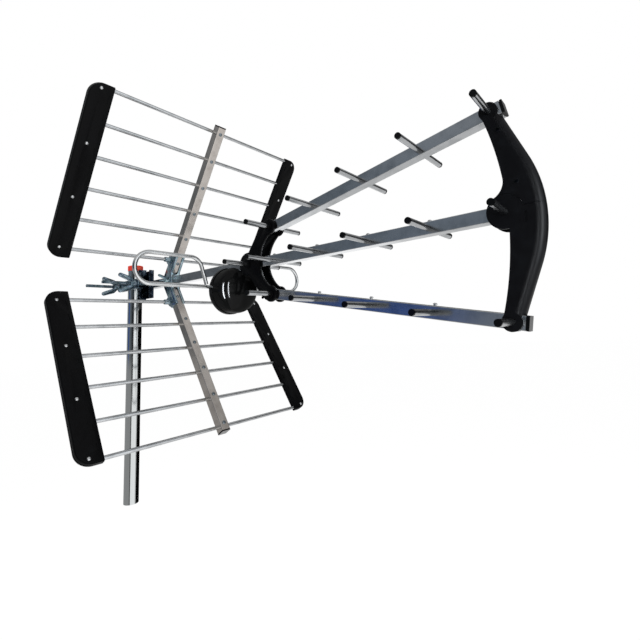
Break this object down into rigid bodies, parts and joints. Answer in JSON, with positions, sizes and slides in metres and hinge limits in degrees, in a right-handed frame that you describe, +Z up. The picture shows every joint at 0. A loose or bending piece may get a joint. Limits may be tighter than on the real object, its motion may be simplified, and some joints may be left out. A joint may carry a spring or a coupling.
{
  "type": "outdoor tv antenna",
  "caption": "Outdoor UHF television antenna on a mast stub: three booms of directors, folded dipole box, V-shaped rod reflector and toothed mast clamp.",
  "frame": {"origin": "on the mast's centre line, at the height of the main boom's axis", "axes": "+X towards the front of the antenna, along the main boom; +Z up the mast; the boom lies on the mast's +Y side"},
  "size_m": [1.0682, 0.562, 0.9027],
  "materials": {
    "mast_steel": "bright galvanised",
    "red_plastic": "gloss",
    "zinc_steel": "zinc plated",
    "boom_aluminium": "mill finish",
    "spine_aluminium": "mill finish",
    "rod_aluminium": "bright drawn",
    "dipole_aluminium": "bright drawn",
    "plate_plastic": "satin",
    "bow_plastic": "satin",
    "gloss_cover": "gloss",
    "box_plastic": "satin",
    "board": "solder mask",
    "nickel_socket": "nickel plated",
    "rivet_metal": "plain"
  },
  "bodies": {
    "root": {"balun_board": "board", "blind_rivets": "rivet_metal", "bottom_boom": "boom_aluminium", "bottom_director_1": "rod_aluminium", "bottom_director_2": "rod_aluminium", "bottom_director_3": "rod_aluminium", "bottom_director_4": "rod_aluminium", "bottom_director_5": "rod_aluminium", "bow_screws": "rivet_metal", "bracket_bolt": "zinc_steel", "bracket_wing_nut": "zinc_steel", "clamp_bolts": "zinc_steel", "clamp_counter_jaw": "zinc_steel", "clamp_main_jaw": "zinc_steel", "clamp_wing_nuts": "zinc_steel", "coax_socket": "nickel_socket", "dipole_box_base": "box_plastic", "dipole_box_cover": "gloss_cover", "dipole_loop_far": "dipole_aluminium", "dipole_loop_near": "dipole_aluminium", "end_plate_lower_far": "plate_plastic", "end_plate_lower_near": "plate_plastic", "end_plate_upper_far": "plate_plastic", "end_plate_upper_near": "plate_plastic", "front_bow_lower": "bow_plastic", "front_bow_upper": "bow_plastic", "lower_reflector_rod_1": "rod_aluminium", "lower_reflector_rod_2": "rod_aluminium", "lower_reflector_rod_3": "rod_aluminium", "lower_reflector_rod_4": "rod_aluminium", "lower_reflector_rod_5": "rod_aluminium", "lower_reflector_rod_6": "rod_aluminium", "lower_spine": "spine_aluminium", "main_boom": "boom_aluminium", "main_director_1": "rod_aluminium", "main_director_2": "rod_aluminium", "main_director_3": "rod_aluminium", "main_director_4": "rod_aluminium", "main_director_5": "rod_aluminium", "main_director_6": "rod_aluminium", "mast_cap": "red_plastic", "mast_tube": "mast_steel", "rear_bow_far": "bow_plastic", "rear_bow_near": "bow_plastic", "reflector_bracket": "zinc_steel", "spine_screws": "rivet_metal", "terminal_screws": "rivet_metal", "top_boom": "boom_aluminium", "top_director_1": "rod_aluminium", "top_director_2": "rod_aluminium", "top_director_3": "rod_aluminium", "top_director_4": "rod_aluminium", "top_director_5": "rod_aluminium", "upper_reflector_rod_1": "rod_aluminium", "upper_reflector_rod_2": "rod_aluminium", "upper_reflector_rod_3": "rod_aluminium", "upper_reflector_rod_4": "rod_aluminium", "upper_reflector_rod_5": "rod_aluminium", "upper_reflector_rod_6": "rod_aluminium", "upper_spine": "spine_aluminium"}
  },
  "joints": []
}
